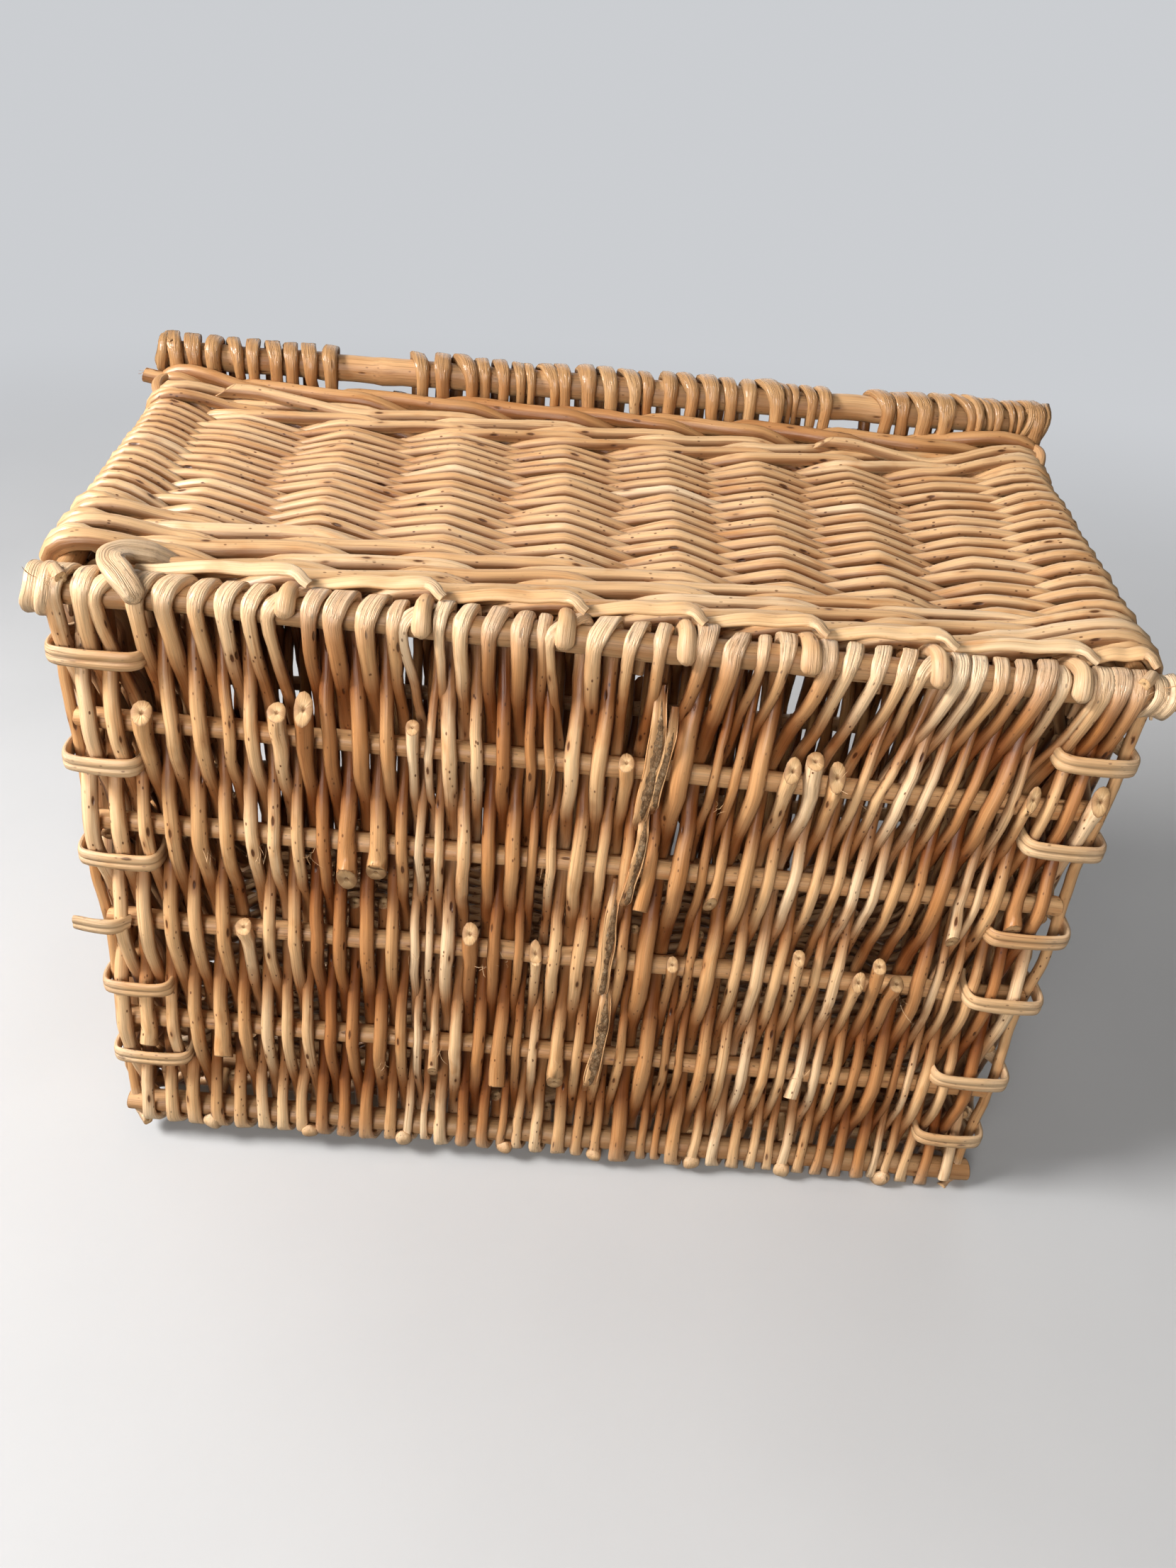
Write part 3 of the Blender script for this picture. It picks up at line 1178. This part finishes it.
def end_loop(rods, y, sign_x, rng, reach, tone, broken):
    """Sliced end of a short-side stake, looped under the last base weavers."""
    outer = 291.5
    inner = outer - reach
    high = 27.0
    from_stick = min(abs(y - stick_y) for stick_y in BASE_STICK_Y)
    low = -3.4 + 4.6 * float(smooth(from_stick, 8, 34))
    # x and z round the loop
    loop = [(inner + 2, high - 6), (inner, 14), (inner, 6), (inner + 1.5, low + 1.5),
            (inner + 7, low - 0.8), (inner + 0.5 * reach, low - 1.4), (outer - 8, low - 0.4),
            (outer - 1.5, low + 1.5), (outer + 0.5, low + 7), (outer + 0.5, 16),
            (outer - 1, high - 3), (outer - 7, high + 3)]
    if broken:
        loop = [(inner + 18, 4), (inner + 24, low), (outer - 6, low - 1), (outer + 9, low + 1)]
    loop = cut_corners(np.array(loop, float), 2)
    drift = rng.uniform(-3, 3)
    path = np.stack([sign_x * loop[:, 0], y + drift * np.linspace(-1, 1, len(loop)),
                     loop[:, 1]], 1)
    up = path - np.array([sign_x * (inner + reach * 0.5), y, 12.0])
    up[:, 1] = 0
    wear = np.clip((np.abs(path[:, 0]) - (inner + reach * 0.55)) / 18, 0.1, 0.7)
    rods.strip(path, up, 11.0, 3.2, rng, tone=tone, wear=wear, crease=0.30)


def stakes_and_tails():
    """Stakes by side and tails by side; the corner posts become objects here."""
    rng = np.random.default_rng(41)
    stakes = rods_by_side()
    for k, entry in enumerate(POSTS):
        if entry.kind != "corner":
            stakes[entry.kind].tube(post_path(k, 20, 309), STAKE_R * np.linspace(1.06, 0.9, 40),
                                    rng, tone=rng.uniform(0.3, 0.6), ref=(1, 0.01, 0))
    for name, k in CORNER_POSTS:
        rods = Rods()
        rods.tube(post_path(k, 26, 306), CORNER_R, rng, tone=0.4, ref=(1, 0.01, 0), sides=16)
        rods.make(f"corner_post_{name}_rod", STICK_WILLOW, "stakes", f"corner_post_{name}")
    for x in FRONT_FEET_X:
        foot(stakes["front"], x, -1, rng, reach=rng.uniform(-14, 12),
             shift=rng.uniform(-2.5, 1.5))
    for x in BACK_STAKES_X:
        foot(stakes["back"], x, 1, rng, reach=rng.uniform(-10, 14), shift=rng.uniform(-2, 2))
    twisted_foot(stakes["front"], rng)
    tails = {"front": scallom_tails(-1, (-250.0,) + FRONT_FEET_X + (279.0,), rng),
             "back": scallom_tails(1, (-294.0,) + BACK_STAKES_X + (294.0,), rng)}
    for side, sign_x in (("left", -1), ("right", 1)):
        for i, y in enumerate(LOOPS_Y[side]):
            end_loop(stakes[side], y, sign_x, rng, reach=rng.uniform(40, 50),
                     tone=rng.uniform(0.6, 0.9), broken=(side, i) == BROKEN_LOOP)
    return stakes, tails


# ------------------------------------------------------------------ lid
def lid_lean(x, y):
    """Unevenness of the wraps round the lid's outer sticks."""
    if abs(y) <= 200:
        return 0.0
    return (2.2 * math.sin(x * 0.43 + y) * math.sin(x * 0.117)
            + 1.7 * math.sin(x * 0.231 + 2 * y))


def lid_is_bare(x, at_front):
    """At the front the gaps start further along, and the left one ends further along too."""
    shift = 8.0 if at_front else 0.0
    return any(a + shift < x < b + (shift if a < 0 else 0) for a, b in LID_GAPS_X)


def lid_weave():
    rng = np.random.default_rng(51)
    rods = Rods()
    passes = lay_passes(-309.0, 310.5, rng, mean_r=4.1, packing=0.81)
    panel(rods, LID_STICK_Y, LID_STICK_R, LID_Z, 1, passes, lid_lean, rng,
          lambda source: random_tone(source, 0.45, 0.16, low=0.02), lid_is_bare)
    helper_y = LID_STICK_Y[-1] - HELPER_INSET
    for a, b in LID_GAPS_X:
        for side in (-1, 1):
            path = [(x, side * helper_y, LID_Z) for x in np.linspace(a - 9, b + 17, 24)]
            rods.tube(path, HELPER_R, rng, tone=0.4, sides=10)
    for x, turns, r, width, tone, stick_r in ((309.5, 2, 4.7, 7.4, 0.62, 8.4),
                                              (-309.0, 1, 4.2, 7.0, 0.55, 8.2)):
        knot(rods, x, rng, turns, r, width, tone, LID_STICK_Y[0], LID_Z, stick_r)
    for x, tone in ((-313.5, 0.5), (313.5, 0.6)):
        end_rod(rods, x, rng, LID_Z, r=3.0, reach=226.0, tone=tone)
    rods.make("lid_weave_rods", LID_WILLOW, "weavers", "lid_weave", body="lid", racked=False,
              depth=lid_depth)


# circles a hinge ring is stretched round: y, z, radius. The lid stick, then the border
HINGE_CIRCLES = ((LID_STICK_Y[-1], LID_Z, 11.7), (184.0, 306.0, 4.6), (207.0, 306.5, 4.6),
                 (184.0, 317.0, 4.6), (207.0, 317.0, 4.6))


def half_hull(points):
    """One side of the convex hull of sorted points, without its last point."""
    hull = []
    for y, z in points:
        while len(hull) > 1:
            (y1, z1), (y2, z2) = hull[-2:]
            if (y2 - y1) * (z - z1) - (z2 - z1) * (y - y1) > 1e-9:
                break
            hull.pop()
        hull.append((y, z))
    return hull[:-1]


def hinge(x, name):
    """Two thin rods twisted together round the lid stick and the border."""
    rng = np.random.default_rng(int(abs(x)))
    points = set()
    for y, z, r in HINGE_CIRCLES:
        for k in range(60):
            angle = math.radians(6 * k)
            points.add((round(y + r * math.cos(angle), 5), round(z + r * math.sin(angle), 5)))
    points = sorted(points)
    hull = np.array(half_hull(points) + half_hull(points[::-1]))
    hull = np.vstack([hull, hull[:1]])
    dist = arc_length(hull)
    girth = dist[-1]
    along = np.linspace(0, girth * 1.12, 150)
    line = np.stack([np.interp(along % girth, dist, column) for column in hull.T], 1)
    soften(line, 4)
    out = unit(line - np.array([200.0, 320.0]))
    rods = Rods()
    for k in (0, 1):
        twist = along / 26 * 2 * math.pi + k * math.pi
        path = np.stack([x + 2.5 * np.cos(twist) + 1.5 * np.sin(along / girth * 6.28),
                         line[:, 0] + out[:, 0] * 0.7 * np.sin(twist),
                         line[:, 1] + out[:, 1] * 0.7 * np.sin(twist)], 1)
        rods.tube(path, [[2.5, 2.2]], rng, tone=0.4 + 0.2 * k, ref=(1, 0, 0), sides=10,
                  ends=("cut", "tip"), bend=0.1, wear=0.2)
    rods.make(name + "_withy", LID_WILLOW, "hinge_willow", name, racked=False)


# ------------------------------------------------------------------ build the hamper
base = base_weave()
split_rods(base)
all_sticks()
wall = wall_weave()
wale_rng = np.random.default_rng(31)
bottom_wale = waling(wale_rng, rounds=3, r=4.6, low_z=43.5, step=17.8, lift=4.6, mean_tone=0.70,
                     butts_out=0.10, tilted=True)
top_wale = waling(wale_rng, rounds=2, r=4.3, low_z=277.2, step=16.6, lift=4.3, mean_tone=0.62,
                  butts_out=0.22)
border = waling(wale_rng, rounds=1, r=5.3, low_z=312.3, step=10.0, lift=-5.0, mean_tone=0.50,
                butts_out=0.30, push=3.4, threes=(2, 3))
border_corners(border)
stakes, tails = stakes_and_tails()

for side in SIDES:
    piece = f"{side}_stakes" if side in ("front", "back") else f"{side}_end_stakes"
    stakes[side].make(f"{piece}_rods", STAKE_WILLOW, "stakes", piece)
    for group, prefix, material, slot in (
            (wall, "wall_weave", WALL_WILLOW, "weavers"),
            (bottom_wale, "bottom_wale", WALE_WILLOW, "waling_rods"),
            (top_wale, "top_wale", WALE_WILLOW, "waling_rods"),
            (border, "border", BORDER_WILLOW, "border_rods")):
        piece = f"{prefix}_{side}"
        group[side].make(f"{piece}_rods", material, slot, piece, depth=wall_depth)
for side in ("front", "back"):
    piece = f"{side}_scallom_tails"
    tails[side].make(f"{piece}_slices", SLICE_WILLOW, "sliced_willow", piece)
base.make("base_weave_rods", BASE_WILLOW, "weavers", "base_weave", depth=base_depth)
lid_weave()
hinge(-188.0, "hinge_ring_left")
hinge(158.0, "hinge_ring_right")

# ------------------------------------------------------------------ stage, m
BACKDROP = (0.60, 0.615, 0.64)
# the basket lies on its back in the main view, on a floor that faces this way
LYING_FLOOR_NORMAL = (-0.006314, -0.998367, 0.056771)


def camera_side(nodes, above):
    """1 while the camera stands above (or below) the ground plane, else 0."""
    place = nodes.add("ShaderNodeVectorTransform", {0: (0, 0, 0)}, vector_type="POINT",
                      convert_from="CAMERA", convert_to="WORLD").outputs[0]
    height = nodes.add("ShaderNodeSeparateXYZ", {0: place}).outputs["Z"]
    return nodes.calc("GREATER_THAN" if above else "LESS_THAN", height, 0.0)


def lid_turned(nodes, turned):
    """1 where the lid is turned away from rest (or is at rest), else 0."""
    coords = nodes.add("ShaderNodeTexCoord", object=bpy.data.objects["lid_weave_rods"])
    place = nodes.add("ShaderNodeNewGeometry").outputs["Position"]
    gap = nodes.add("ShaderNodeVectorMath", {0: coords.outputs["Object"], 1: place},
                    operation="DISTANCE").outputs["Value"]
    return nodes.calc("GREATER_THAN" if turned else "LESS_THAN", gap, 0.004)


def stage_material(name, above, turned=None):
    """Pale floor seen only by a camera on its own side of the ground.

    turned limits it further, to the lid being open (True) or shut (False). Far from the
    basket it fades into the backdrop.
    """
    material, nodes = new_material(name)
    bsdf = nodes.tree.nodes["Principled BSDF"]
    coords = nodes.add("ShaderNodeTexCoord").outputs["Object"]
    mottle = nodes.add("ShaderNodeTexNoise",
                       {"Scale": 3.0, "Detail": 6.0, "Vector": coords}).outputs["Fac"]
    colour = nodes.ramp(mottle, (0.3, (0.49, 0.496, 0.507)), (0.7, (0.53, 0.536, 0.547)))
    nodes.feed_node(bsdf, {"Base Color": colour, "Roughness": 0.55, "Specular IOR Level": 0.25})
    shown = camera_side(nodes, above)
    if turned is not None:
        shown = nodes.times(shown, lid_turned(nodes, turned))
    clear = nodes.add("ShaderNodeBsdfTransparent").outputs[0]
    backdrop = nodes.add("ShaderNodeEmission", {"Color": BACKDROP}).outputs[0]
    place = nodes.add("ShaderNodeNewGeometry").outputs["Position"]
    away = nodes.add("ShaderNodeVectorMath", {0: place}, operation="LENGTH").outputs["Value"]
    far = nodes.smooth_range(away, low=0.55, high=2.6)
    faded = nodes.add("ShaderNodeMixShader", {0: far, 1: bsdf.outputs[0], 2: backdrop})
    visible = nodes.add("ShaderNodeMixShader", {0: shown, 1: clear, 2: faded.outputs[0]})
    nodes.feed(nodes.tree.nodes["Material Output"].inputs["Surface"], visible.outputs[0])
    return material


def stage_plane(name, centre, normal, size, material):
    """Square of half side size that only the camera sees."""
    mesh = bpy.data.meshes.new(name)
    normal = Vector(normal).normalized()
    a = normal.orthogonal().normalized()
    b = normal.cross(a)
    corners = [tuple(Vector(centre) + a * size * sign_a + b * size * sign_b)
               for sign_a, sign_b in ((1, 1), (-1, 1), (-1, -1), (1, -1))]
    mesh.from_pydata(corners, [], [(0, 1, 2, 3)])
    mesh.materials.append(material)
    obj = bpy.data.objects.new(name, mesh)
    bpy.context.scene.collection.objects.link(obj)
    obj.visible_shadow = False
    obj.visible_diffuse = False
    obj.visible_glossy = False
    obj.visible_transmission = False


stage_plane("ground", (0, 0, -0.0064), (0, 0, 1), 6.0, stage_material("stage_ground", above=True))
stage_plane("floor_main_view", (0.00137, 0.2175, 0.0007), LYING_FLOOR_NORMAL, 8.0,
            stage_material("stage_floor", above=False, turned=False))
# with the lid open, the lying basket's floor is lower, at the lid's far edge
stage_plane("floor_lid_open", (0.0, 0.562, 0.0), LYING_FLOOR_NORMAL, 8.0,
            stage_material("stage_floor_low", above=False, turned=True))


# ------------------------------------------------------------------ world and lights
def studio_world():
    """Warm soft light, stronger for upright views, behind a plain backdrop."""
    world = bpy.data.worlds.new("studio")
    bpy.context.scene.world = world
    world.use_nodes = True
    nodes = Nodes(world.node_tree)
    light = nodes.tree.nodes["Background"]
    light.inputs["Strength"].default_value = 0.27      # used only if the link is removed
    strength = nodes.calc("MULTIPLY_ADD", camera_side(nodes, above=True), 0.25, 0.14)
    nodes.feed_node(light, {"Color": (1.0, 0.975, 0.94), "Strength": strength})
    backdrop = nodes.add("ShaderNodeBackground", {"Color": BACKDROP}).outputs[0]
    seen = nodes.add("ShaderNodeLightPath").outputs["Is Camera Ray"]
    mixed = nodes.add("ShaderNodeMixShader", {0: seen, 1: light.outputs[0], 2: backdrop})
    nodes.feed(nodes.tree.nodes["World Output"].inputs["Surface"], mixed.outputs[0])


# name, place, height of the target on the Z axis, side lengths, power in watts, colour, and
# whether it lights the upright views (True) or the main view from below (False)
LIGHTS = (
    ("key_window", (-1.85, -1.45, -0.35), 0.12, (0.60, 0.80), 90, (1.0, 0.98, 0.96), False),
    ("fill_front", (-0.5, -0.9, -1.9), 0.1, (0.9, 0.9), 33, (1.0, 0.975, 0.94), False),
    ("rim_soft", (0.3, -0.9, 2.0), 0.15, (1.8, 1.8), 13, (1.0, 0.99, 0.98), False),
    ("over_soft", (-0.5, -0.6, 2.3), 0.15, (1.6, 1.6), 62, (1.0, 0.99, 0.97), True),
    ("left_soft", (-2.1, -1.7, 1.3), 0.15, (1.2, 1.2), 52, (1.0, 0.985, 0.96), True),
    ("right_soft", (2.1, 1.5, 1.2), 0.15, (1.2, 1.2), 40, (1.0, 0.98, 0.95), True),
)


def area_light(name, place, target_z, size, power, colour, above):
    light = bpy.data.lights.new(name, "AREA")
    light.use_nodes = True
    nodes = Nodes(light.node_tree)
    nodes.feed(nodes.tree.nodes["Emission"].inputs["Strength"], camera_side(nodes, above))
    light.shape = "RECTANGLE"
    light.size, light.size_y = size
    light.energy = power
    light.color = colour
    obj = bpy.data.objects.new(name, light)
    bpy.context.scene.collection.objects.link(obj)
    obj.location = place
    aim = Vector((0, 0, target_z)) - Vector(place)
    obj.rotation_euler = aim.to_track_quat("-Z", "Y").to_euler()


def main_camera():
    """Looks up at the base from below and in front."""
    camera = bpy.data.cameras.new("camera")
    camera.sensor_fit = "AUTO"
    camera.sensor_width = 36.0
    camera.lens = 28.697468
    camera.clip_start = 0.01
    camera.clip_end = 50
    obj = bpy.data.objects.new("camera", camera)
    bpy.context.scene.collection.objects.link(obj)
    right = Vector((0.996988, -0.072029, 0.028759))
    up = Vector((-0.075505, -0.816645, 0.57218))
    forward = Vector((0.017727, 0.572628, 0.819623))
    place = Vector((-0.004974, -0.501376, -0.562598))
    turn = Matrix((right, up, -forward)).transposed().to_4x4()
    obj.matrix_world = Matrix.Translation(place) @ turn
    bpy.context.scene.camera = obj


studio_world()
for entry in LIGHTS:
    area_light(*entry)
main_camera()
bpy.context.scene.view_settings.view_transform = "Standard"
bpy.context.scene.view_settings.exposure = 0.0
